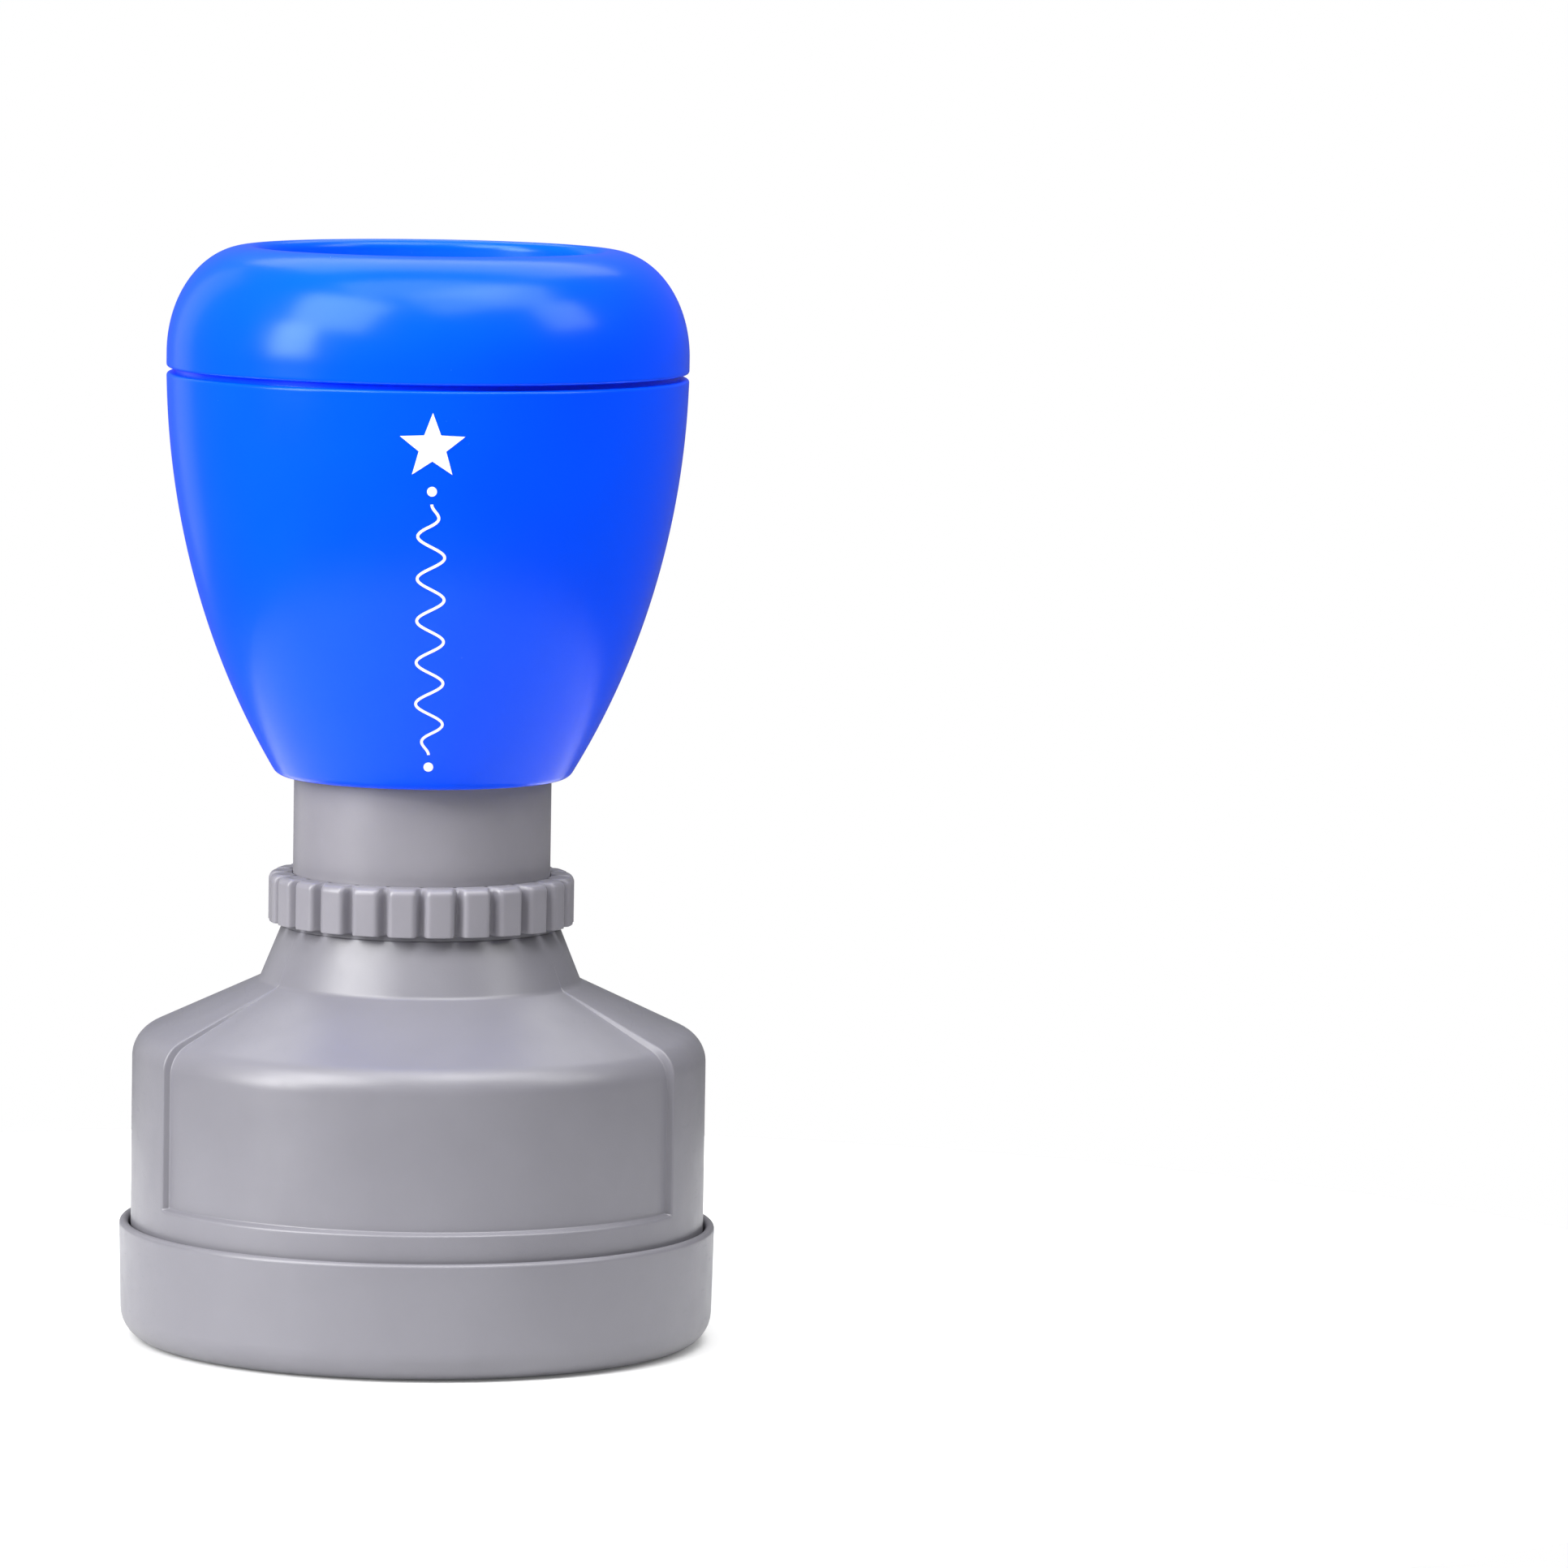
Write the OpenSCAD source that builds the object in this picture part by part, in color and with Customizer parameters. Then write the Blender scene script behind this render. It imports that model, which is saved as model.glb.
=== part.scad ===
// Round pre-inked hand stamp: a sprung plunger carries a foam die inside a skirt housing.
// Millimetres, +Z up, origin at the centre of the dust cap's resting face.

/* [Housing] */
// Outer diameter of the skirt
housing_d = 50; // [44:0.5:60]
// Wall of the skirt and shoulder
housing_wall = 1.7; // [1.4:0.1:2.4]
// Height of the straight skirt, up to the shoulder corner
skirt_h = 24; // [21:0.5:30]
// Slope of the shoulder from the horizontal
shoulder_angle = 25; // [20:1:30]
// Radius of the corner between skirt and shoulder
shoulder_round = 2.8; // [1:0.2:4]
// Height of the tapered collar above the shoulder
collar_h = 4.7; // [3.5:0.1:7]
// How much wider than the neck the collar is at its foot, on radius
collar_flare = 2.8; // [2:0.1:4]
// Wall of the collar at its top edge
collar_lip = 0.8; // [0.6:0.1:1.2]
// Thickness of the crown that the neck's flange is clamped under
crown_wall = 1.8; // [1.4:0.1:2.4]
// Depth of the two shallow panels, front and back
panel_depth = 0.6; // [0.3:0.1:0.8]
// Half of the angle that one panel spans
panel_half_angle = 61.5; // [45:0.5:75]
// Height of the plain band under the panels
band_h = 10.2; // [7:0.2:13]

/* [Dust cap] */
// Wall of the dust cap beside the skirt
cap_wall = 0.8; // [0.7:0.05:1.4]
// Thickness of the dust cap's floor
cap_floor = 1.4; // [1:0.1:2]
// Height of the ledge that the skirt stands on
cap_ledge = 2.4; // [2:0.1:4]
// Overall height of the dust cap
cap_h = 10.3; // [8:0.1:14]
// Radius of the dust cap's lower edge
cap_round = 2.6; // [1:0.1:4]
// Taper of the dust cap over its height, on radius
cap_taper = 0.25; // [0:0.05:0.5]
// Width of the resting ring under the dust cap
cap_foot_w = 4; // [2:0.5:8]

/* [Neck] */
// Outer diameter of the neck tube
neck_d = 22.4; // [20:0.2:27]
// Wall of the neck tube
neck_wall = 1.5; // [1.2:0.1:2]
// Thickness of the neck tube's flange and floor
flange_t = 1.8; // [1.4:0.1:2.4]
// How far the flange stands out, on radius
flange_w = 2; // [1.5:0.1:2.4]
// Wall of the bush that guides the plunger rod
bush_wall = 1.2; // [0.8:0.1:1.6]
// Thickness of the bush's flange, under the spring
bush_flange_t = 0.8; // [0.6:0.1:1.2]

/* [Knurled ring] */
// Height of the knurled ring
ring_h = 4.2; // [3:0.1:6]
// Wall of the ring at the bottom of a groove
ring_wall = 1.05; // [0.8:0.05:1.6]
// Depth of a groove
tooth_h = 1; // [0.5:0.1:1.4]
// Number of teeth
tooth_count = 25; // [16:1:32]
// Share of the pitch that a tooth fills at its tip
tooth_share = 0.63; // [0.5:0.01:0.75]
// Thickness of the slip washer under the ring
washer_t = 0.4; // [0.3:0.05:0.8]

/* [Handle] */
// Largest diameter of the handle
handle_d = 45.28; // [38:0.5:56]
// Height of the handle shell, foot to parting groove
shell_h = 34.9; // [29:0.5:42]
// Height of the handle cap above the parting groove
dome_h = 11; // [9:0.5:14]
// Gap between the ring and the handle's foot
handle_gap = 8.5; // [7.5:0.5:12]
// Land around the neck tube under the handle's foot
foot_land = 1.5; // [1:0.1:3]
// Half height of the ellipse that the handle's side follows
side_half_height = 63; // [48:1:80]
// Height of that ellipse's centre above the handle shell
side_centre_rise = 1.3; // [0:0.1:4]
// Wall of the handle shell at the plunger's seat
shell_wall = 2; // [1.6:0.1:2.8]
// Width of the ledge that the plunger's plate sits on
ledge_w = 0.9; // [0.6:0.1:1.5]
// Thickness of the sleeve that guides the handle on the neck
sleeve_t = 1.6; // [1.2:0.1:2.4]
// Width and depth of the parting groove
groove_w = 0.45; // [0.3:0.05:0.8]
groove_depth = 0.8; // [0.4:0.1:1.2]
// Diameter of the dish in the handle cap, over its rim
dish_d = 31.2; // [24:0.2:36]
// Depth of the dish
dish_depth = 3; // [2.4:0.1:3.6]
// Radius of the dish's rim
dish_round = 0.8; // [0.4:0.1:1.2]
// Thickness of the paper index label in the dish
label_t = 0.2; // [0.1:0.05:0.4]
// Thickness of the clear lens over the label
lens_t = 1; // [0.8:0.1:1.4]

/* [Plunger] */
// Travel of the plunger when the handle is pressed
stroke = 4.6; // [3.8:0.1:5.6]
// How far the pressed die stands out past the skirt's edge
die_press = 0.4; // [0.2:0.1:0.6]
// Diameter of the plunger rod
rod_d = 8; // [6.5:0.1:9.6]
// Thickness of the plunger's top plate
plate_t = 2; // [1.5:0.1:3]
// Rise of the handle's rim above that plate
plate_drop = 4.2; // [3:0.1:6]

/* [Printing head] */
// Thickness of the foam die
die_t = 3; // [2:0.1:4]
// Thickness of the ink reservoir pad
pad_t = 3; // [2:0.1:4]
// Thickness of the carrier's plate
carrier_t = 1.8; // [1.4:0.1:2.4]
// Wall of the clamp ring around the foam
clamp_wall = 1.3; // [1:0.1:1.6]
// Width of the lip that holds the foam's edge
clamp_lip = 1.2; // [0.8:0.1:2]
// Thickness of the rubber stop ring on the carrier's hub
stop_t = 1; // [0.6:0.1:1.6]
// Shank diameter of the carrier screw
screw_d = 3; // [2.5:0.1:3.6]

/* [Spring] */
// Wire of the return spring
wire_d = 0.9; // [0.7:0.1:1.1]
// Mean diameter of the return spring
coil_d = 13; // [12:0.5:15]
// Working turns, between the closed ends
coil_turns = 6; // [4:1:8]
// Length of the return spring as installed
spring_h = 30.5; // [27:0.5:34]
// Thickness of the steel washer between the spring and the plunger
spring_washer_t = 0.5; // [0.3:0.1:0.8]

/* [Fits] */
// Radial clearance of a sliding fit
slide_gap = 0.1; // [0.05:0.01:0.15]
// Radial clearance of the head inside the skirt
head_gap = 0.3; // [0.2:0.05:0.5]
// Radial clearance of the dust cap over the skirt
cap_gap = 0.2; // [0.1:0.05:0.3]
// Radial clearance of the ring's thread on the neck
thread_gap = 0.05; // [0.03:0.01:0.1]

/* [Hidden] */
$fn = 96;

grey = [0.60, 0.59, 0.63];
blue = [0.0, 0.36, 1.0];
ink_blue = [0.06, 0.17, 0.56];
natural = [0.88, 0.88, 0.89];
black = [0.12, 0.12, 0.13];

// Radii from the neck outwards
neck_r = neck_d / 2;
neck_bore_r = neck_r - neck_wall;
flange_r = neck_r + flange_w;
housing_r = housing_d / 2;
skirt_bore_r = housing_r - housing_wall;
collar_top_r = neck_r + slide_gap + collar_lip;
collar_foot_r = neck_r + collar_flare;
panel_r = housing_r - panel_depth;
panel_foot_drop = 0.1;
cap_bore_r = housing_r + cap_gap;
cap_r = cap_bore_r + cap_wall;

// Heights from the resting face up
rise = tan(shoulder_angle);
corner_z = cap_ledge + skirt_h;
crown_z = corner_z + (housing_r - collar_foot_r) * rise;
collar_z = crown_z + collar_h;
seat_z = crown_z - crown_wall;
web_z = seat_z - flange_t;
ring_z = collar_z + washer_t;
handle_z = ring_z + ring_h + handle_gap;
groove_z = handle_z + shell_h;
plate_z = groove_z - plate_drop - plate_t;
overtravel = 0.4;
neck_top_z = plate_z - stroke - overtravel;
sleeve_top_z = neck_top_z - 5;
top_z = groove_z + dome_h;

// Printing head
die_z = cap_ledge + stroke - die_press;
carrier_z = die_z + die_t + pad_t;
carrier_top_z = carrier_z + carrier_t;
hub_top_z = web_z - stop_t;
clamp_r = skirt_bore_r - head_gap;
clamp_bore_r = clamp_r - clamp_wall;
foam_gap = 0.2;
foam_r = clamp_bore_r - foam_gap;
lip_r = clamp_bore_r - clamp_lip;
lip_t = 0.9;
lip_set_back = 0.4;
die_step = lip_set_back + lip_t;
bead_w = 0.6;
bead_h = 0.8;
plug_r = 1.6;
plug_head_w = 0.9;
plug_head_t = 1;

// Plunger rod, a double-D section that keeps the handle from turning
rod_r = rod_d / 2;
rod_flat = rod_r * 0.8;
hub_r = rod_r + 2.5;
plug_x = hub_r + 6;
bush_r = rod_r + slide_gap + bush_wall;
bush_flange_r = bush_r + 2.6;

// The screw hangs the carrier on the rod's end, its head sunk above the pad
screw_r = screw_d / 2;
head_r = screw_r + 1.3;
head_t = 2;
head_sink = 0.4;
screw_pocket_r = head_r + 0.6;
steel_washer_t = 0.4;
hub_floor_t = 2.6;
screw_seat_z = carrier_z + head_sink + head_t + steel_washer_t;
rod_end_z = screw_seat_z + hub_floor_t;
screw_len = 12;
hole_gap = 0.15;
bite_gap = 0.02;

// Return spring, between the bush's flange and the washer under the plunger's collar
coil_r = coil_d / 2;
spring_z = seat_z + bush_flange_t;
collar_seat_z = spring_z + spring_h + spring_washer_t;
collar_t = 2;
collar_r = neck_bore_r - 0.6;
web_t = 1.6;

// The handle's side is an ellipse that meets the foot and the widest radius
handle_r = handle_d / 2;
foot_r = neck_r + foot_land;
side_centre_z = groove_z + side_centre_rise;
function side_share(z) = sqrt(1 - pow((side_centre_z - z) / side_half_height, 2));
side_width = (handle_r - foot_r) / (1 - side_share(handle_z));
function side_r(z) = handle_r - side_width * (1 - side_share(z));
function side_points(z0, z1, inset, n) =
    [for (i = [0:n]) let (z = z0 + (z1 - z0) * i / n) [side_r(z) - inset, z]];

dish_r = dish_d / 2;
dish_wall_r = dish_r - dish_round;
dish_z = top_z - dish_depth;
dish_floor_t = 1.8;
label_r = dish_wall_r - 0.8;
lip_chamfer = 0.3;
brow_z = groove_z + 1.8;
socket_r = side_r(plate_z) - shell_wall;
spigot_r = socket_r - slide_gap;
spigot_wall = 1.6;

function arc(cx, cz, r, a0, a1, n = 8) =
    [for (i = [0:n]) let (a = a0 + (a1 - a0) * i / n) [cx + r * cos(a), cz + r * sin(a)]];
function ellipse(cx, cz, rx, rz, a0, a1, n = 14) =
    [for (i = [0:n]) let (a = a0 + (a1 - a0) * i / n) [cx + rx * cos(a), cz + rz * sin(a)]];

module ring(r_out, r_in, z0, z1) {
    translate([0, 0, z0])
        difference() {
            cylinder(r = r_out, h = z1 - z0);
            translate([0, 0, -1]) cylinder(r = r_in, h = z1 - z0 + 2);
        }
}

// Outline of the housing's outside at a given inset, from the shoulder corner to the collar.
// The inset runs out along the shoulder, down to a small drop at the collar's foot
function shoulder_outline(inset, foot_drop) =
    let (
        r = housing_r - inset,
        lift = inset / cos(shoulder_angle),
        corner = corner_z - lift + inset * rise,
        run = shoulder_round * tan((90 - shoulder_angle) / 2)
    )
    concat(
        arc(r - shoulder_round, corner - run, shoulder_round, 0, 90 - shoulder_angle),
        [[collar_foot_r, crown_z - foot_drop]]
    );

module dust_cap() {
    low_r = cap_r - cap_taper;
    bowl_r = skirt_bore_r;
    lip_round = cap_wall / 2;
    color(grey)
        difference() {
            rotate_extrude()
                polygon(concat(
                    [[0, 0]],
                    arc(low_r - cap_round, cap_round, cap_round, -90, 0),
                    arc(cap_r - lip_round, cap_h - lip_round, lip_round, 0, 180, 10),
                    [[cap_bore_r, cap_ledge], [bowl_r, cap_ledge], [bowl_r, cap_floor], [0, cap_floor]]
                ));
            translate([0, 0, -1])
                cylinder(r = low_r - cap_round - cap_foot_w, h = 1.4);
        }
}

module housing() {
    core_r = housing_r - housing_wall / 2 - 0.1; // buried in the wall, where the layers join
    core_drop = 0.9;
    panel_z = cap_ledge + band_h;
    edge = 0.3;
    color(grey) {
        // The wall at the panels' depth, all the way round
        rotate_extrude()
            polygon(concat(
                [[skirt_bore_r, cap_ledge], [panel_r, cap_ledge]],
                shoulder_outline(panel_depth, panel_foot_drop),
                [[collar_top_r, collar_z], [neck_r + slide_gap, collar_z]],
                [[neck_r + slide_gap, seat_z]],
                [[skirt_bore_r - (seat_z - inner_corner_z()) / rise, seat_z]],
                [[skirt_bore_r, inner_corner_z()]]
            ));
        // The plain band under the panels
        rotate_extrude()
            polygon([
                [core_r, cap_ledge], [housing_r - edge, cap_ledge],
                [housing_r, cap_ledge + edge], [housing_r, panel_z - edge],
                [housing_r - edge, panel_z], [core_r, panel_z]
            ]);
        // The full-radius ribs between the panels
        for (side = [0, 180])
            rotate([0, 0, side - (90 - panel_half_angle)])
                rotate_extrude(angle = 180 - 2 * panel_half_angle)
                    polygon(concat(
                        [[core_r, panel_z - 1], [housing_r, panel_z - 1]],
                        shoulder_outline(0, 0),
                        [[collar_foot_r - 1, crown_z - core_drop], [core_r, corner_z - core_drop]]
                    ));
    }
}

// Height where the skirt's bore meets the underside of the shoulder
function inner_corner_z() = corner_z + housing_wall * rise - housing_wall / cos(shoulder_angle);

module rod_section(gap) {
    intersection() {
        circle(r = rod_r + gap);
        square([2 * rod_r + 2, 2 * (rod_flat + gap)], center = true);
    }
}

module neck_tube() {
    color(grey)
        difference() {
            union() {
                translate([0, 0, web_z]) cylinder(r = neck_r, h = neck_top_z - web_z);
                translate([0, 0, web_z]) cylinder(r = flange_r, h = flange_t);
            }
            translate([0, 0, seat_z]) cylinder(r = neck_bore_r, h = neck_top_z);
            translate([0, 0, web_z - 1]) cylinder(r = bush_r + bite_gap, h = flange_t + 2);
        }
}

module guide_bush() {
    color(black)
        difference() {
            union() {
                translate([0, 0, web_z]) cylinder(r = bush_r, h = flange_t + 0.1);
                translate([0, 0, seat_z]) cylinder(r = bush_flange_r, h = bush_flange_t);
            }
            translate([0, 0, web_z - 1])
                linear_extrude(flange_t + bush_flange_t + 2) rod_section(slide_gap);
        }
}

module knurled_ring() {
    root_r = neck_r + thread_gap + ring_wall;
    tip_r = root_r + tooth_h;
    pitch = 360 / tooth_count;
    tip_half = pitch * tooth_share / 2;
    root_half = tip_half + 0.8;
    edge = 0.5;
    color(grey)
        difference() {
            intersection() {
                translate([0, 0, ring_z])
                    linear_extrude(ring_h)
                        union() {
                            circle(r = root_r);
                            // Teeth straddle the front, so a groove faces -Y
                            for (i = [0:tooth_count - 1])
                                rotate((i + 0.5) * pitch - 90)
                                    polygon([
                                        [root_r - 0.5, -root_r * sin(root_half)],
                                        [tip_r + 0.5, -tip_r * sin(tip_half)],
                                        [tip_r + 0.5, tip_r * sin(tip_half)],
                                        [root_r - 0.5, root_r * sin(root_half)]
                                    ]);
                        }
                rotate_extrude()
                    polygon([
                        [0, ring_z], [tip_r, ring_z], [tip_r, ring_z + ring_h - edge],
                        [tip_r - edge, ring_z + ring_h], [0, ring_z + ring_h]
                    ]);
            }
            translate([0, 0, ring_z - 1]) cylinder(r = neck_r + thread_gap, h = ring_h + 2);
        }
}

module ring_washer() {
    color(grey) ring(collar_top_r, neck_r + slide_gap, collar_z, ring_z);
}

// Wire of the spring: closed ends of one turn each, and an even helix between them
module return_spring() {
    sides = 8;
    per_turn = 20;
    turns = coil_turns + 2;
    steps = turns * per_turn;
    wire_r = wire_d / 2;
    z_low = spring_z + wire_r + bite_gap;
    z_high = spring_z + spring_h - wire_r - bite_gap;
    end_rise = wire_d * 1.05;
    function lift(t) =
        t < 1 ? end_rise * t
        : t > turns - 1 ? z_high - z_low - end_rise * (turns - t)
        : end_rise + (z_high - z_low - 2 * end_rise) * (t - 1) / (turns - 2);
    points = [
        for (i = [0:steps])
            let (t = i / per_turn, a = 360 * t)
                for (k = [0:sides - 1])
                    let (b = 360 * k / sides, r = coil_r + wire_r * cos(b))
                        [r * cos(a), r * sin(a), z_low + lift(t) + wire_r * sin(b)]
    ];
    walls = [
        for (i = [0:steps - 1])
            for (k = [0:sides - 1])
                let (n = (k + 1) % sides, a = i * sides, b = (i + 1) * sides)
                    [a + k, a + n, b + n, b + k]
    ];
    first = [for (k = [sides - 1:-1:0]) k];
    last = [for (k = [0:sides - 1]) steps * sides + k];
    color("silver") polyhedron(points, concat([first], walls, [last]), convexity = 10);
}

module spring_washer() {
    color("silver")
        ring(collar_r - 1, rod_r + hole_gap, collar_seat_z - spring_washer_t, collar_seat_z);
}

module plunger() {
    window_r = 3.2;
    window_x = socket_r * 0.74;
    plate_gap = 0.2;
    color(natural)
        difference() {
            union() {
                translate([0, 0, plate_z]) cylinder(r = socket_r - plate_gap, h = plate_t);
                translate([0, 0, rod_end_z])
                    linear_extrude(plate_z - rod_end_z + 1) rod_section(0);
                translate([0, 0, collar_seat_z]) cylinder(r = collar_r, h = collar_t);
                // Four webs stiffen the plate above the neck tube's bore
                for (i = [0:3])
                    rotate([90, 0, 45 + 90 * i])
                        linear_extrude(web_t, center = true)
                            polygon([
                                [rod_r - 1, collar_seat_z + collar_t - 0.5],
                                [collar_r - 0.5, collar_seat_z + collar_t - 0.5],
                                [collar_r - 0.5, plate_z + 0.5], [rod_r - 1, plate_z + 0.5]
                            ]);
            }
            for (i = [0:3])
                rotate(90 * i)
                    translate([window_x, 0, plate_z - 1]) cylinder(r = window_r, h = plate_t + 2);
            translate([0, 0, rod_end_z - 1]) cylinder(r = screw_r + bite_gap, h = screw_len + 1);
        }
}

module stop_ring() {
    color(black) ring(hub_r, rod_r + hole_gap, hub_top_z, web_z);
}

module carrier() {
    rib_count = 6;
    rib_t = 1.2;
    rib_end_r = foam_r - 3;
    color(natural)
        difference() {
            union() {
                translate([0, 0, carrier_z]) cylinder(r = foam_r, h = carrier_t);
                translate([0, 0, carrier_z]) cylinder(r = hub_r, h = hub_top_z - carrier_z);
                for (i = [0:rib_count - 1])
                    rotate([90, 0, (i + 0.5) * 360 / rib_count])
                        linear_extrude(rib_t, center = true)
                            polygon([
                                [hub_r - 1, carrier_top_z - 0.5], [rib_end_r, carrier_top_z - 0.5],
                                [rib_end_r, carrier_top_z + 1.4], [hub_r - 1, hub_top_z - 3]
                            ]);
            }
            translate([0, 0, rod_end_z])
                linear_extrude(hub_top_z) rod_section(0.05);
            translate([0, 0, carrier_z - 1])
                cylinder(r = screw_r + hole_gap, h = rod_end_z - carrier_z + 2);
            translate([0, 0, carrier_z - 1])
                cylinder(r = screw_pocket_r, h = screw_seat_z - carrier_z + 1);
            for (side = [-1, 1])
                translate([side * plug_x, 0, carrier_z - 1])
                    cylinder(r = plug_r, h = carrier_t + 2);
        }
}

// Two rubber plugs close the holes that the pad is re-inked through
module ink_plugs() {
    color(black)
        for (side = [-1, 1])
            translate([side * plug_x, 0, 0]) {
                translate([0, 0, carrier_z])
                    cylinder(r = plug_r - bite_gap, h = carrier_t + plug_head_t / 2);
                translate([0, 0, carrier_top_z])
                    cylinder(r = plug_r + plug_head_w, h = plug_head_t);
            }
}

module carrier_screw() {
    seat = screw_seat_z - steel_washer_t;
    head_round = 0.8;
    slot_l = 3.4;
    slot_w = 0.7;
    slot_depth = 1.2;
    color("silver")
        difference() {
            union() {
                translate([0, 0, seat - head_t])
                    rotate_extrude()
                        polygon(concat(
                            [[0, 0]],
                            arc(head_r - head_round, head_round, head_round, -90, 0, 4),
                            [[head_r, head_t], [0, head_t]]
                        ));
                translate([0, 0, seat - 0.5]) cylinder(r = screw_r, h = screw_len);
            }
            // Cross recess
            for (turn = [0, 90])
                rotate(turn)
                    translate([-slot_l / 2, -slot_w / 2, seat - head_t - 1])
                        cube([slot_l, slot_w, slot_depth + 1]);
        }
}

module screw_washer() {
    color([0.75, 0.75, 0.77])
        ring(screw_pocket_r - 0.25, screw_r + hole_gap,
             screw_seat_z - steel_washer_t, screw_seat_z);
}

module reservoir_pad() {
    color(ink_blue) translate([0, 0, die_z + die_t]) cylinder(r = foam_r, h = pad_t);
}

module stamp_die() {
    color([0.80, 0.82, 0.88]) {
        translate([0, 0, die_z]) cylinder(r = lip_r - foam_gap, h = die_t);
        translate([0, 0, die_z + die_step]) cylinder(r = foam_r, h = die_t - die_step);
    }
}

// A lip below holds the foam's edge, and a bead above snaps over the carrier's plate
module clamp_ring() {
    z0 = die_z + lip_set_back;
    bead_z = carrier_top_z;
    bead_r = clamp_bore_r - bead_w;
    chamfer = 0.4;
    color(natural)
        rotate_extrude()
            polygon([
                [lip_r, z0], [clamp_r - chamfer, z0], [clamp_r, z0 + chamfer],
                [clamp_r, bead_z + bead_h], [bead_r, bead_z + bead_h],
                [bead_r, bead_z], [clamp_bore_r, bead_z],
                [clamp_bore_r, z0 + lip_t], [lip_r, z0 + lip_t]
            ]);
}

module handle_shell() {
    foot_round = 1.2;
    sleeve_r = neck_r + slide_gap + sleeve_t;
    inset = shell_wall + ledge_w;
    sleeve_gap = 0.4;
    // The foot is solid up to where the cavity clears the sleeve
    foot_h = 7.5;
    cavity_z = handle_z + foot_h;
    cavity_points = [
        for (p = side_points(cavity_z, plate_z, inset, 16)) [max(p[0], sleeve_r + sleeve_gap), p[1]]
    ];
    color(blue) {
        difference() {
            rotate_extrude()
                polygon(concat(
                    [[neck_r + slide_gap, handle_z]],
                    arc(side_r(handle_z + foot_round) - foot_round, handle_z + foot_round,
                        foot_round, -90, -18, 5),
                    side_points(handle_z + foot_round, groove_z - lip_chamfer, 0, 24),
                    [[handle_r - lip_chamfer, groove_z], [socket_r, groove_z]],
                    [[socket_r, plate_z], [socket_r - ledge_w, plate_z]],
                    [[neck_r + slide_gap, plate_z]]
                ));
            rotate_extrude()
                polygon(concat(
                    [[sleeve_r, cavity_z]],
                    cavity_points,
                    [[side_r(plate_z) - inset, plate_z + 1], [0, plate_z + 1]],
                    [[0, sleeve_top_z], [sleeve_r, sleeve_top_z]]
                ));
            translate([0, 0, handle_z - 1])
                cylinder(r = neck_r + slide_gap, h = plate_z - handle_z);
        }
    }
}

module handle_cap() {
    brow_rx = handle_r - dish_r;
    brow_rz = top_z - brow_z;
    skin = 2;
    dish_corner = 0.6;
    seam_z = groove_z + groove_w;
    dish_under_r = dish_r + 0.9;
    color(blue)
        rotate_extrude()
            polygon(concat(
                [[0, dish_z]],
                arc(dish_wall_r - dish_corner, dish_z + dish_corner, dish_corner, -90, 0, 4),
                arc(dish_r, top_z - dish_round, dish_round, 180, 90, 5),
                ellipse(dish_r, brow_z, brow_rx, brow_rz, 86, 0),
                [[handle_r, seam_z + lip_chamfer], [handle_r - lip_chamfer, seam_z]],
                [[handle_r - groove_depth, seam_z], [handle_r - groove_depth, groove_z]],
                [[spigot_r, groove_z], [spigot_r, plate_z + plate_t]],
                [[spigot_r - spigot_wall, plate_z + plate_t], [spigot_r - spigot_wall, groove_z + 0.8]],
                ellipse(dish_r, brow_z, brow_rx - skin, brow_rz - skin, 0, 72),
                [[dish_under_r, dish_z - dish_floor_t], [0, dish_z - dish_floor_t]]
            ));
}

module index_label() {
    color("white") translate([0, 0, dish_z]) cylinder(r = label_r, h = label_t);
}

module label_lens() {
    color([0.92, 0.95, 1.0, 0.4])
        translate([0, 0, dish_z + label_t]) cylinder(r = dish_wall_r - 0.3, h = lens_t);
}

dust_cap();
housing();
neck_tube();
guide_bush();
knurled_ring();
ring_washer();
return_spring();
spring_washer();
plunger();
stop_ring();
carrier();
carrier_screw();
screw_washer();
ink_plugs();
reservoir_pad();
stamp_die();
clamp_ring();
handle_shell();
handle_cap();
index_label();
label_lens();
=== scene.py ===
import math

import bmesh
import bpy
import numpy as np
from mathutils import Matrix, Vector


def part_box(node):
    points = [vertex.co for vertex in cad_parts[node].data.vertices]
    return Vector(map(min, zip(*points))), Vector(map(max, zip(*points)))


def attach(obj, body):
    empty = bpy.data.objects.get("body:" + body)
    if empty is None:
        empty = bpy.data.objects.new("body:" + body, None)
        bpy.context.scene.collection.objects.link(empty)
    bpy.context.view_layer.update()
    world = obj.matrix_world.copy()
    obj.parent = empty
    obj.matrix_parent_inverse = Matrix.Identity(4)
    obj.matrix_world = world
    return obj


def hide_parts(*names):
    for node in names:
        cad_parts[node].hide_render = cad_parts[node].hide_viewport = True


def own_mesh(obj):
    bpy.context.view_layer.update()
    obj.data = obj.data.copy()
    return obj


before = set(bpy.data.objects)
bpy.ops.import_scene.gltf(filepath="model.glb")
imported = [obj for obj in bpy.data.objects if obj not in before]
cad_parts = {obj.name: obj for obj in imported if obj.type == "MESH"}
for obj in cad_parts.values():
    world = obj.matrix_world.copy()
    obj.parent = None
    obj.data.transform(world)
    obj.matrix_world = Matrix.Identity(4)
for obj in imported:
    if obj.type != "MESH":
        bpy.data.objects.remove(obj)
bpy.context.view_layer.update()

mm = 0.001
scene = bpy.context.scene
front = -math.pi / 2  # the stamp's front faces -Y


# Where a CAD node ends, in mm, to a micron
def radiusOf(name):
    return round(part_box(name)[1][0] / mm, 3)


def footOf(name):
    return round(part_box(name)[0][2] / mm, 3)


def topOf(name):
    return round(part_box(name)[1][2] / mm, 3)


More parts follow.
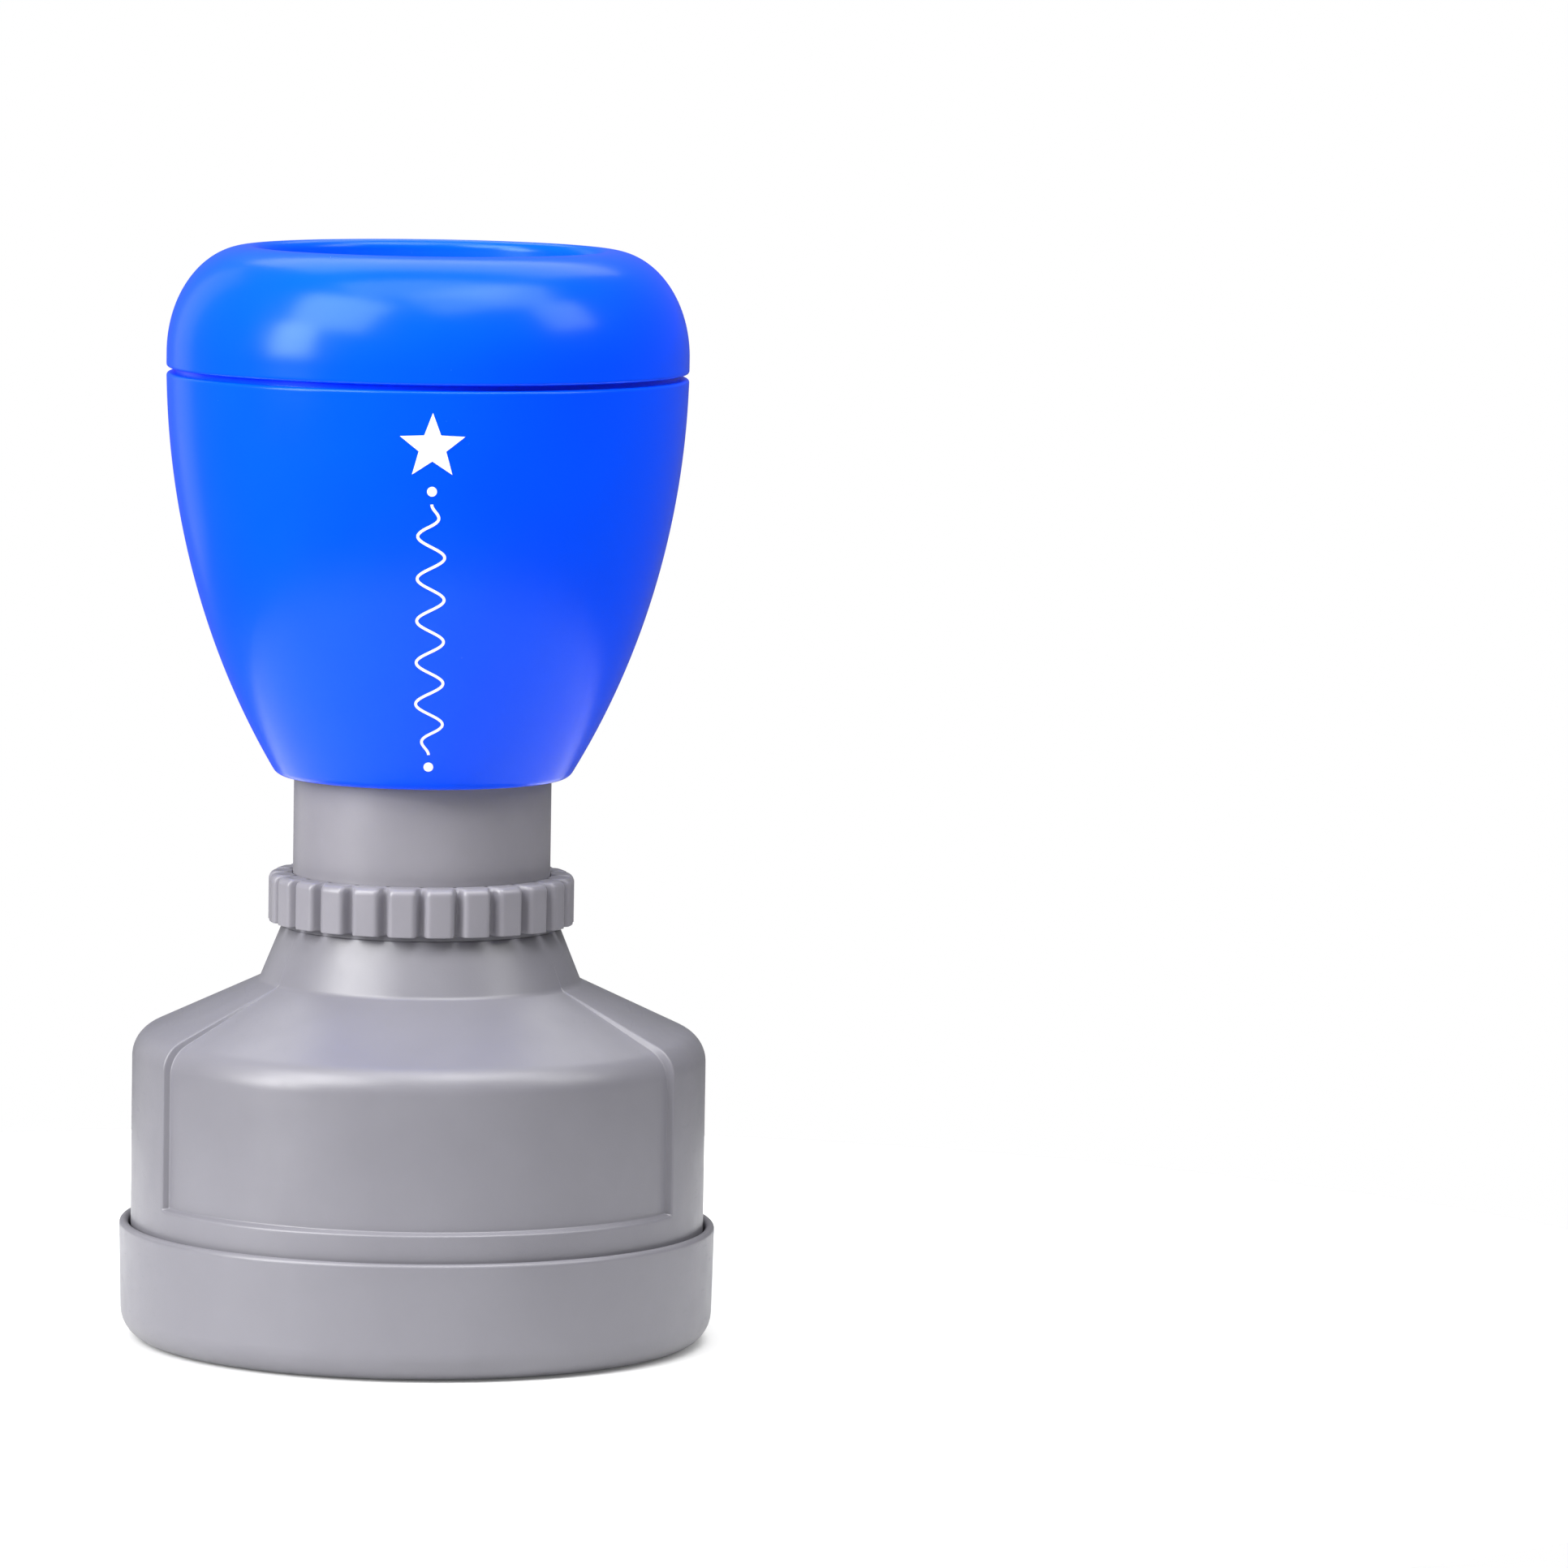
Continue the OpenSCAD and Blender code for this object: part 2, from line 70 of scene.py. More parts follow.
def addNode(tree, kind, inputs=None, **settings):
    made = tree.nodes.new(kind)
    for key, value in settings.items():
        setattr(made, key, value)
    for key, value in (inputs or {}).items():
        if isinstance(value, bpy.types.NodeSocket):
            tree.links.new(value, made.inputs[key])
        else:
            made.inputs[key].default_value = value
    return made


def addMath(tree, operation, a, b=0.0):
    return addNode(tree, "ShaderNodeMath", {0: a, 1: b}, operation=operation).outputs[0]


# Finishes: colours in linear light, sizes in mm
greyLook = {
    "colour": (0.143, 0.14, 0.159), "colourTwo": (0.156, 0.153, 0.173), "blotch": 9,
    "rough": (0.34, 0.41), "roughSize": 3.0, "grain": 0.16, "grainHeight": 0.006, "scuff": 0.05,
}
# Painted light: the same grey made paler for the neck and ring, which the lamps leave too dark
neckPaintedLightLook = {**greyLook, "colour": (0.189, 0.183, 0.206), "colourTwo": (0.206, 0.199, 0.223)}
blueLook = {
    "colour": (0.0, 0.066, 0.96), "colourTwo": (0.0, 0.073, 0.98), "blotch": 14,
    "rough": (0.21, 0.26), "roughSize": 6.0, "grain": 0.9, "grainHeight": 0.0015, "scuff": 0.02,
    "sockets": {"Specular IOR Level": 0.22, "Specular Tint": (0.55, 0.85, 1.0, 1.0)},
}
naturalLook = {
    "colour": (0.66, 0.66, 0.65), "colourTwo": (0.72, 0.72, 0.71), "blotch": 7,
    "rough": (0.34, 0.46), "roughSize": 2.0, "grain": 0.2, "grainHeight": 0.004, "scuff": 0.05,
}
blackLook = {
    "colour": (0.018, 0.018, 0.02), "colourTwo": (0.026, 0.026, 0.028), "blotch": 4,
    "rough": (0.3, 0.42), "roughSize": 1.5, "grain": 0.12, "grainHeight": 0.004, "scuff": 0.08,
}
rubberLook = {
    "colour": (0.014, 0.014, 0.015), "colourTwo": (0.03, 0.03, 0.031), "blotch": 2.5,
    "rough": (0.68, 0.82), "roughSize": 1.2, "grain": 0.1, "grainHeight": 0.012, "scuff": 0.04,
}
steelLook = {
    "colour": (0.56, 0.56, 0.57), "colourTwo": (0.66, 0.67, 0.69), "blotch": 1.6,
    "rough": (0.2, 0.36), "roughSize": 0.8, "grain": 0.07, "grainHeight": 0.002, "scuff": 0.1,
    "sockets": {"Metallic": 1.0},
}
feltLook = {
    "colour": (0.006, 0.02, 0.19), "colourTwo": (0.014, 0.045, 0.33), "blotch": 1.2,
    "rough": (0.75, 0.95), "roughSize": 0.8, "grain": 0.12, "grainHeight": 0.08, "scuff": 0.0,
    "sockets": {"Sheen Weight": 0.3, "Sheen Roughness": 0.5},
}
foamLook = {
    "colour": (0.27, 0.31, 0.5), "colourTwo": (0.36, 0.4, 0.58), "blotch": 3.5,
    "rough": (0.62, 0.8), "roughSize": 0.5, "grain": 0.09, "grainHeight": 0.03, "scuff": 0.0,
}
inkedLook = {
    "colour": (0.012, 0.03, 0.28), "colourTwo": (0.02, 0.06, 0.42), "blotch": 1.5,
    "rough": (0.3, 0.55), "roughSize": 0.6, "grain": 0.09, "grainHeight": 0.02, "scuff": 0.0,
}
paperLook = {
    "colour": (0.8, 0.81, 0.82), "colourTwo": (0.86, 0.87, 0.88), "blotch": 0.8,
    "rough": (0.6, 0.75), "roughSize": 0.4, "grain": 0.1, "grainHeight": 0.01, "scuff": 0.0,
}
clearLook = {
    "colour": (0.97, 0.98, 1.0), "colourTwo": (0.95, 0.97, 1.0), "blotch": 12,
    "rough": (0.02, 0.06), "roughSize": 4.0, "grain": 1.5, "grainHeight": 0.001, "scuff": 0.05,
    "sockets": {"Transmission Weight": 1.0, "IOR": 1.49},
}
whiteInkLook = {
    "colour": (0.88, 0.88, 0.88), "colourTwo": (0.93, 0.93, 0.93), "blotch": 1.0,
    "rough": (0.35, 0.5), "roughSize": 0.6, "grain": 0.12, "grainHeight": 0.003, "scuff": 0.0,
}
floorLook = {
    "colour": (0.69, 0.69, 0.69), "colourTwo": (0.71, 0.71, 0.71), "blotch": 120,
    "rough": (0.7, 0.8), "roughSize": 20.0, "grain": 0.8, "grainHeight": 0.01, "scuff": 0.0,
}


# Two tones in soft blotches, uneven gloss, a fine grain and a few faint rubbed streaks
def mouldedFinish(name, look):
    material = bpy.data.materials.new(name)
    material.use_nodes = True
    tree = material.node_tree
    shader = tree.nodes["Principled BSDF"]
    for key, value in look.get("sockets", {}).items():
        shader.inputs[key].default_value = value
    place = addNode(tree, "ShaderNodeTexCoord").outputs["Object"]

    def noise(size, detail, vector=place):
        scale = 1 / (size * mm)
        return addNode(tree, "ShaderNodeTexNoise",
                       {"Vector": vector, "Scale": scale, "Detail": detail}).outputs["Fac"]

    def spread(value, low, high, fromLow=0.3, fromHigh=0.7):
        return addNode(tree, "ShaderNodeMapRange",
                       {"Value": value, "From Min": fromLow, "From Max": fromHigh,
                        "To Min": low, "To Max": high}).outputs["Result"]

    tone = addNode(tree, "ShaderNodeMix",
                   {0: spread(noise(look["blotch"], 3.0), 0.0, 1.0),
                    6: (*look["colour"], 1.0), 7: (*look["colourTwo"], 1.0)}, data_type="RGBA")
    tree.links.new(tone.outputs[2], shader.inputs["Base Color"])
    gloss = spread(noise(look["roughSize"], 4.0), *look["rough"])
    if look["scuff"]:
        stretched = addNode(tree, "ShaderNodeMapping", {"Vector": place, "Rotation": (0.3, 0.5, 0.9),
                                                        "Scale": (1.0, 0.05, 1.0)}).outputs["Vector"]
        streaks = spread(noise(0.5, 2.0, stretched), 0.0, look["scuff"], 0.62, 0.75)
        gloss = addMath(tree, "ADD", gloss, streaks)
    tree.links.new(gloss, shader.inputs["Roughness"])
    bump = addNode(tree, "ShaderNodeBump",
                   {"Height": noise(look["grain"], 2.0), "Strength": 1.0,
                    "Distance": look["grainHeight"] * mm})
    tree.links.new(bump.outputs["Normal"], shader.inputs["Normal"])
    return material


greyPlastic = mouldedFinish("satinGreyPlastic", greyLook)
neckPaintedLightPlastic = mouldedFinish("paintedLightGreyPlastic", neckPaintedLightLook)  # the neck and its ring get a paler copy of the grey, painted light where the lamps leave them dark
bluePlastic = mouldedFinish("glossBluePlastic", blueLook)
naturalPlastic = mouldedFinish("milkyPlastic", naturalLook)
blackPlastic = mouldedFinish("slickBlackPlastic", blackLook)
blackRubber = mouldedFinish("mattRubber", rubberLook)
springSteel = mouldedFinish("zincSteel", steelLook)
inkedFelt = mouldedFinish("inkedFelt", feltLook)
dieFoam = mouldedFinish("dieFoam", foamLook)
inkedFoam = mouldedFinish("inkedFoam", inkedLook)
labelPaper = mouldedFinish("labelPaper", paperLook)
clearAcrylic = mouldedFinish("clearAcrylic", clearLook)
whiteInk = mouldedFinish("whiteInk", whiteInkLook)
floorPaint = mouldedFinish("floorPaint", floorLook)
print("finishes made")


# Corners are (x, z, radius); straight runs get points close to each bend, which keeps the shading flat
def filletPath(corners, arcSteps=7, straightSteps=3, hold=0.12):
    flat = [np.array(c[:2], float) for c in corners]
    runs = []
    for i, corner in enumerate(corners):
        radius = corner[2] if len(corner) > 2 else 0
        if not radius:
            runs.append([flat[i]])
            continue
        into = (flat[i] - flat[i - 1]) / np.linalg.norm(flat[i] - flat[i - 1])
        out = (flat[i + 1] - flat[i]) / np.linalg.norm(flat[i + 1] - flat[i])
        turn = math.acos(max(-1, min(1, float(into @ out))))
        reach = radius * math.tan(turn / 2)
        side = 1 if into[0] * out[1] - into[1] * out[0] > 0 else -1
        start = flat[i] - into * reach
        centre = start + side * radius * np.array([-into[1], into[0]])
        arc = []
        x, z = start - centre
        for k in range(arcSteps + 1):
            a = side * turn * k / arcSteps
            swung = [x * math.cos(a) - z * math.sin(a), x * math.sin(a) + z * math.cos(a)]
            arc.append(centre + np.array(swung))
        runs.append(arc)
    path = []
    for i, run in enumerate(runs):
        path += run
        if i + 1 < len(runs) and straightSteps:
            a, b = run[-1], runs[i + 1][0]
            length = np.linalg.norm(b - a)
            edge = min(hold, length / 4) / length if length > 1e-9 else 0.25
            path += [a + (b - a) * t for t in np.linspace(edge, 1 - edge, straightSteps)]
    return np.array(path)


def chainMesh(name, path):
    mesh = bpy.data.meshes.new(name)
    links = [(i, i + 1) for i in range(len(path) - 1)]
    mesh.from_pydata([(x * mm, 0, z * mm) for x, z in path], links, [])
    return mesh


def addObject(name, data):
    made = bpy.data.objects.new(name, data)
    scene.collection.objects.link(made)
    return made


# Merges doubles, turns the faces outwards and leaves only real edges sharp
def cleanMesh(mesh, sharpDegrees=38):
    work = bmesh.new()
    work.from_mesh(mesh)
    bmesh.ops.remove_doubles(work, verts=work.verts, dist=0.0008 * mm)
    bmesh.ops.dissolve_degenerate(work, dist=0.0005 * mm, edges=work.edges)
    bmesh.ops.recalc_face_normals(work, faces=work.faces)
    work.to_mesh(mesh)
    work.free()
    mesh.shade_smooth()
    mesh.set_sharp_from_angle(angle=math.radians(sharpDegrees))
    mesh.update()


# rows x columns of points in mm, closed both ways
def gridObject(name, points, material):
    rows, columns, _ = points.shape
    faces = []
    for i in range(rows):
        for j in range(columns):
            a, b = (i + 1) % rows, (j + 1) % columns
            faces.append((i * columns + j, i * columns + b, a * columns + b, a * columns + j))
    mesh = bpy.data.meshes.new(name)
    mesh.from_pydata((points.reshape(-1, 3) * mm).tolist(), [], faces)
    mesh.materials.append(material)
    cleanMesh(mesh)
    return addObject(name, mesh)


def newTree(name, inputs):
    tree = bpy.data.node_groups.new(name, "GeometryNodeTree")
    tree.is_modifier = True
    for label, kind in inputs:
        tree.interface.new_socket(label, in_out="INPUT", socket_type=kind)
    tree.interface.new_socket("Geometry", in_out="OUTPUT", socket_type="NodeSocketGeometry")
    return tree, addNode(tree, "NodeGroupInput").outputs


def endTree(tree, geometry, material):
    geometry = addNode(tree, "GeometryNodeRealizeInstances", {"Geometry": geometry}).outputs[0]
    geometry = addNode(tree, "GeometryNodeSetShadeSmooth", {"Geometry": geometry}).outputs[0]
    geometry = addNode(tree, "GeometryNodeSetMaterial",
                       {"Geometry": geometry, "Material": material}).outputs[0]
    addNode(tree, "NodeGroupOutput", {"Geometry": geometry})


# The modifier's values go in by socket identifier, and the result becomes a plain mesh
def runTree(name, mesh, tree, values):
    made = addObject(name, mesh)
    modifier = made.modifiers.new("build", "NODES")
    modifier.node_group = tree
    for item in tree.interface.items_tree:
        if item.item_type == "SOCKET" and item.in_out == "INPUT" and item.name in values:
            modifier[item.identifier] = values[item.name]
    bpy.context.view_layer.update()
    graph = bpy.context.evaluated_depsgraph_get()
    result = bpy.data.meshes.new_from_object(made.evaluated_get(graph))
    made.modifiers.remove(modifier)
    made.data = result
    result.name = name
    cleanMesh(result)
    return made


weldMm = 0.001  # points nearer than this become one

# Turned pieces: one outline swept round the axis
turnTree, given = newTree("turnedPiece", [
    ("Outline", "NodeSocketGeometry"), ("Steps", "NodeSocketInt"), ("Finish", "NodeSocketMaterial")])
outlineCount = addNode(turnTree, "GeometryNodeAttributeDomainSize",
                       {"Geometry": given["Outline"]}, component="MESH").outputs["Point Count"]
sheet = addNode(turnTree, "GeometryNodeMeshGrid",
                {"Vertices X": addMath(turnTree, "ADD", given["Steps"], 1.0),
                 "Vertices Y": outlineCount}).outputs["Mesh"]
index = addNode(turnTree, "GeometryNodeInputIndex").outputs[0]
onOutline = addNode(turnTree, "GeometryNodeSampleIndex",
                    {"Geometry": given["Outline"],
                     "Value": addNode(turnTree, "GeometryNodeInputPosition").outputs[0],
                     "Index": addMath(turnTree, "MODULO", index, outlineCount)},
                    data_type="FLOAT_VECTOR").outputs[0]
parts = addNode(turnTree, "ShaderNodeSeparateXYZ", {0: onOutline}).outputs
turned = addMath(turnTree, "FLOOR", addMath(turnTree, "DIVIDE", index, outlineCount))
angle = addMath(turnTree, "DIVIDE", addMath(turnTree, "MULTIPLY", turned, math.tau), given["Steps"])
swept = addNode(turnTree, "ShaderNodeCombineXYZ",
                {0: addMath(turnTree, "MULTIPLY", parts[0], addMath(turnTree, "COSINE", angle)),
                 1: addMath(turnTree, "MULTIPLY", parts[0], addMath(turnTree, "SINE", angle)),
                 2: parts[2]}).outputs[0]
wrapped = addNode(turnTree, "GeometryNodeSetPosition", {"Geometry": sheet, "Position": swept}).outputs[0]
joined = addNode(turnTree, "GeometryNodeMergeByDistance",
                 {"Geometry": wrapped, "Distance": weldMm * mm}).outputs[0]
endTree(turnTree, joined, given["Finish"])


def turnedPiece(name, path, material, steps=192):
    return runTree(name, chainMesh(name, path), turnTree, {"Steps": steps, "Finish": material})


# One sector repeated round the axis
repeatTree, given = newTree("repeatRound", [
    ("Sector", "NodeSocketGeometry"), ("Count", "NodeSocketInt"), ("Finish", "NodeSocketMaterial")])
spots = addNode(repeatTree, "GeometryNodePoints", {"Count": given["Count"]}).outputs[0]
step = addMath(repeatTree, "DIVIDE", math.tau, given["Count"])
spin = addMath(repeatTree, "MULTIPLY", addNode(repeatTree, "GeometryNodeInputIndex").outputs[0], step)
facing = addNode(repeatTree, "FunctionNodeEulerToRotation",
                 {0: addNode(repeatTree, "ShaderNodeCombineXYZ", {2: spin}).outputs[0]}).outputs[0]
copies = addNode(repeatTree, "GeometryNodeInstanceOnPoints",
                 {"Points": spots, "Instance": given["Sector"], "Rotation": facing}).outputs[0]
copies = addNode(repeatTree, "GeometryNodeRealizeInstances", {"Geometry": copies}).outputs[0]
copies = addNode(repeatTree, "GeometryNodeMergeByDistance",
                 {"Geometry": copies, "Distance": weldMm * mm}).outputs[0]
endTree(repeatTree, copies, given["Finish"])


# Wire wound in a helix with a closed turn at each end
coilTree, given = newTree("woundSpring", [
    ("Wire Path", "NodeSocketGeometry"), ("Turns", "NodeSocketFloat"), ("Coil Radius", "NodeSocketFloat"),
    ("Wire Radius", "NodeSocketFloat"), ("Low", "NodeSocketFloat"), ("High", "NodeSocketFloat"),
    ("End Rise", "NodeSocketFloat"), ("Steps", "NodeSocketInt"), ("Finish", "NodeSocketMaterial")])
line = addNode(coilTree, "GeometryNodeCurvePrimitiveLine").outputs[0]
line = addNode(coilTree, "GeometryNodeResampleCurve", {"Curve": line, "Count": given["Steps"]}).outputs[0]
along = addNode(coilTree, "ShaderNodeMath",
                {0: addNode(coilTree, "GeometryNodeInputIndex").outputs[0],
                 1: addMath(coilTree, "SUBTRACT", given["Steps"], 1.0)}, operation="DIVIDE").outputs[0]
turns = addMath(coilTree, "MULTIPLY", along, given["Turns"])
lastTurn = addMath(coilTree, "SUBTRACT", given["Turns"], 1.0)


def rampUp(fromLow, fromHigh, toHigh):
    return addNode(coilTree, "ShaderNodeMapRange",
                   {"Value": turns, "From Min": fromLow, "From Max": fromHigh,
                    "To Min": 0.0, "To Max": toHigh}).outputs["Result"]


freeRise = addMath(coilTree, "SUBTRACT", addMath(coilTree, "SUBTRACT", given["High"], given["Low"]),
                   addMath(coilTree, "MULTIPLY", given["End Rise"], 2.0))
height = addMath(coilTree, "ADD", given["Low"], rampUp(0.0, 1.0, given["End Rise"]))
height = addMath(coilTree, "ADD", height, rampUp(1.0, lastTurn, freeRise))
height = addMath(coilTree, "ADD", height, rampUp(lastTurn, given["Turns"], given["End Rise"]))
angle = addMath(coilTree, "MULTIPLY", turns, math.tau)
sideways = addMath(coilTree, "MULTIPLY", given["Coil Radius"], addMath(coilTree, "COSINE", angle))
onwards = addMath(coilTree, "MULTIPLY", given["Coil Radius"], addMath(coilTree, "SINE", angle))
wound = addNode(coilTree, "ShaderNodeCombineXYZ", {0: sideways, 1: onwards, 2: height}).outputs[0]
line = addNode(coilTree, "GeometryNodeSetPosition", {"Geometry": line, "Position": wound}).outputs[0]
wire = addNode(coilTree, "GeometryNodeCurvePrimitiveCircle",
               {"Resolution": 14, "Radius": given["Wire Radius"]}, mode="RADIUS").outputs[0]
coil = addNode(coilTree, "GeometryNodeCurveToMesh",
               {"Curve": line, "Profile Curve": wire, "Fill Caps": True}).outputs[0]
endTree(coilTree, coil, given["Finish"])
print("node trees made")


def replaceNode(piece, node, body):
    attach(piece, body)
    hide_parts(node)


# Dust cap
cup = {
    "outerRadius": radiusOf("dust_cap"), "height": topOf("dust_cap"), "lowRadius": 25.75,
    "boreRadius": 25.2, "bowlRadius": 23.3, "ledge": 2.4, "floor": 1.4,
    "edgeRound": 2.6, "lipRound": 0.39, "fineRound": 0.15, "ledgeRound": 0.2, "floorRound": 0.3,
    "recessRadius": 19.15, "recessDepth": 0.4,
    "nubRadius": 1.3, "nubHeight": 0.22, "nubSlope": 0.12, "nubRound": 0.12, "nubFootRound": 0.08,
}
nubZ = cup["recessDepth"] - cup["nubHeight"]
cupPath = filletPath([
    (0, nubZ), (cup["nubRadius"], nubZ, cup["nubRound"]),
    (cup["nubRadius"] + cup["nubSlope"], cup["recessDepth"], cup["nubFootRound"]),
    (cup["recessRadius"], cup["recessDepth"], cup["fineRound"]),
    (cup["recessRadius"], 0, cup["fineRound"]), (cup["lowRadius"], 0, cup["edgeRound"]),
    (cup["outerRadius"], cup["height"], cup["lipRound"]),
    (cup["boreRadius"], cup["height"], cup["lipRound"]),
    (cup["boreRadius"], cup["ledge"], cup["fineRound"]),
    (cup["bowlRadius"], cup["ledge"], cup["ledgeRound"]),
    (cup["bowlRadius"], cup["floor"], cup["floorRound"]), (0, cup["floor"])], arcSteps=9, straightSteps=4)
dustCap = turnedPiece("dustCap", cupPath, greyPlastic)
replaceNode(dustCap, "dust_cap", "cap")
print("dust cap turned")

# Housing: skirt, shoulder and collar, with a shallow panel front and back
flangeThick = 1.8  # the neck tube's flange, clamped under the housing's crown
skirt = {
    "radius": radiusOf("housing"), "foot": footOf("housing"), "bore": 23.3,
    "seatZ": footOf("neck_tube") + flangeThick, "cornerZ": 26.4, "cornerRound": 2.8, "shoulderAngle": 25,
    "collarFoot": 14.0, "collarTop": 12.1, "collarZ": topOf("housing"), "collarBlend": 0.8,
    "neckBore": 11.3,
    "panelZ": 12.6, "panelDepth": 0.6, "panelHalfAngle": 61.5, "footDrop": 0.1,
    "wallRun": 0.22, "rimRound": 0.24, "floorRound": 0.14, "edgeMargin": 0.2,
    "footRound": 0.28, "topRound": 0.2, "seatRound": 0.15, "crownRound": 0.5, "innerRound": 1.0,
    "panelColumns": 62, "ribColumns": 28,
}
slope = math.tan(math.radians(skirt["shoulderAngle"]))
slant = 1 / math.cos(math.radians(skirt["shoulderAngle"]))
crownZ = skirt["cornerZ"] + (skirt["radius"] - skirt["collarFoot"]) * slope


# How a panel's edge drops: distance past the edge, and the share of the depth reached there
def edgeDrop():
    depth, run, margin = skirt["panelDepth"], skirt["wallRun"], skirt["edgeMargin"]
    path = filletPath([
        (-1, 0), (0, 0, skirt["rimRound"]), (run, -depth, skirt["floorRound"]), (run + 1, -depth)],
        arcSteps=5, straightSteps=0)
    drop = [(x, -z / depth) for x, z in path[1:-1]]
    return [(drop[0][0] - margin, 0.0)] + drop + [(drop[-1][0] + margin, 1.0)]


# The outside from over the panel's foot to the collar's top, set in by inset
def upperOutline(inset, footDrop):
    wallRadius = skirt["radius"] - inset
    corner = skirt["cornerZ"] - inset * slant + inset * slope
    return filletPath([
        (wallRadius, skirt["panelZ"] + 0.9), (wallRadius, corner, skirt["cornerRound"]),
        (skirt["collarFoot"], crownZ - footDrop, skirt["collarBlend"]),
        (skirt["collarTop"], skirt["collarZ"], skirt["topRound"]),
        (skirt["neckBore"] + 0.3, skirt["collarZ"])], arcSteps=12, straightSteps=7, hold=0.3)


# Each row is (rib radius, rib z, panel radius, panel z, share of the depth)
rows = []
for x, z in filletPath([
        (skirt["radius"] - 0.6, skirt["foot"]), (skirt["radius"], skirt["foot"], skirt["footRound"]),
        (skirt["radius"], skirt["panelZ"] - 0.45)], arcSteps=6, straightSteps=6):
    rows.append((x, z, x, z, 0.0))
for past, share in edgeDrop():
    z = skirt["panelZ"] + past
    rows.append((skirt["radius"], z, skirt["radius"] - skirt["panelDepth"], z, share))
for (x0, z0), (x1, z1) in zip(upperOutline(0, 0), upperOutline(skirt["panelDepth"], skirt["footDrop"])):
    rows.append((x0, z0, x1, z1, 1.0))
wall = skirt["radius"] - skirt["bore"]
innerCorner = skirt["cornerZ"] + wall * slope - wall * slant
for x, z in filletPath([
        (skirt["neckBore"] + 0.2, skirt["collarZ"]), (skirt["neckBore"], skirt["collarZ"], 0.1),
        (skirt["neckBore"], skirt["seatZ"], skirt["seatRound"]),
        (skirt["bore"] - (skirt["seatZ"] - innerCorner) / slope, skirt["seatZ"], skirt["crownRound"]),
        (skirt["bore"], innerCorner, skirt["innerRound"]), (skirt["bore"], skirt["foot"], 0.2),
        (skirt["radius"] - 0.7, skirt["foot"])], arcSteps=5, straightSteps=4):
    rows.append((x, z, x, z, 0.0))
rows = np.array(rows)

# Each column is (angle from the front, share of the panel's depth)
columns = []
half = skirt["panelHalfAngle"]
drop = edgeDrop()
perMm = math.degrees(1 / skirt["radius"])
for centre in (0, 180):
    columns += [(centre - half + past * perMm, share) for past, share in drop]
    inner = half - drop[-1][0] * perMm
    columns += [(centre + a, 1.0) for a in np.linspace(-inner, inner, skirt["panelColumns"])[1:-1]]
    columns += [(centre + half - past * perMm, share) for past, share in reversed(drop)]
    gap = 180 - 2 * half - 2 * abs(drop[0][0]) * perMm
    start = centre + half + abs(drop[0][0]) * perMm
    columns += [(start + gap * k / skirt["ribColumns"], 0.0) for k in range(1, skirt["ribColumns"])]
columns = np.array(columns)

share = rows[:, 4:5] * columns[None, :, 1]
radius = rows[:, 0:1] * (1 - share) + rows[:, 2:3] * share
height = rows[:, 1:2] * (1 - share) + rows[:, 3:4] * share
turn = np.radians(columns[:, 0])[None, :] + front
housingPoints = np.stack([radius * np.cos(turn), radius * np.sin(turn), height], axis=-1)
housingShell = gridObject("housingShell", housingPoints, greyPlastic)
replaceNode(housingShell, "housing", "base")
print("housing shell made,", len(housingShell.data.polygons), "faces")

# Neck tube, with the ring's thread cut into it
neck = {
    "radius": 11.2, "bore": 9.7, "bushHole": 5.32, "flange": radiusOf("neck_tube"),
    "web": footOf("neck_tube"), "seat": skirt["seatZ"], "top": topOf("neck_tube"),
    "lipRound": 0.35, "floorRound": 0.4, "fineRound": 0.2,
    "threadLow": 36.3, "threadHigh": 40.5, "pitch": 1.5, "threadDepth": 0.35, "runIn": 0.4,
    "rowsPerPitch": 20, "columns": 180,
}
threadEnds = (neck["threadLow"] - 0.5, neck["threadHigh"] + 0.5)
threadRows = int((threadEnds[1] - threadEnds[0]) / neck["pitch"] * neck["rowsPerPitch"])
neckPath = list(filletPath([
    (neck["bushHole"], neck["web"]), (neck["flange"], neck["web"], neck["fineRound"]),
    (neck["flange"], neck["seat"], neck["fineRound"]), (neck["radius"], neck["seat"], neck["fineRound"]),
    (neck["radius"], threadEnds[0] - 0.1)], arcSteps=5))
neckPath += [np.array([neck["radius"], z]) for z in np.linspace(*threadEnds, threadRows)]
neckPath += list(filletPath([
    (neck["radius"], threadEnds[1] + 0.1), (neck["radius"], neck["top"], neck["lipRound"]),
    (neck["bore"], neck["top"], neck["lipRound"]), (neck["bore"], neck["seat"], neck["floorRound"]),
    (neck["bushHole"], neck["seat"]), (neck["bushHole"], neck["web"] + 0.2)], arcSteps=6))
neckPath = np.array(neckPath)
neckRadius, neckZ = neckPath[:, 0:1], neckPath[:, 1:2]
turn = np.linspace(0, math.tau, neck["columns"], endpoint=False)[None, :]
fromGroove = np.abs(((neckZ / neck["pitch"] - turn / math.tau) % 1.0 - 0.5) * 2)  # 1 on the crest
groove = np.clip(1.15 - fromGroove * 1.6, 0, 1) * neck["threadDepth"]
runIn = np.clip((neckZ - neck["threadLow"]) / neck["runIn"], 0, 1)
runOut = np.clip((neck["threadHigh"] - neckZ) / neck["runIn"], 0, 1)
outside = np.isclose(neckRadius, neck["radius"])
radius = neckRadius - groove * runIn * runOut * outside
neckPoints = np.stack([
    radius * np.cos(turn), radius * np.sin(turn), np.repeat(neckZ, neck["columns"], 1)], axis=-1)
# The neck's paler grey is painted light
neckTube = gridObject("neckTube", neckPoints, neckPaintedLightPlastic)
replaceNode(neckTube, "neck_tube", "base")
print("neck tube made")

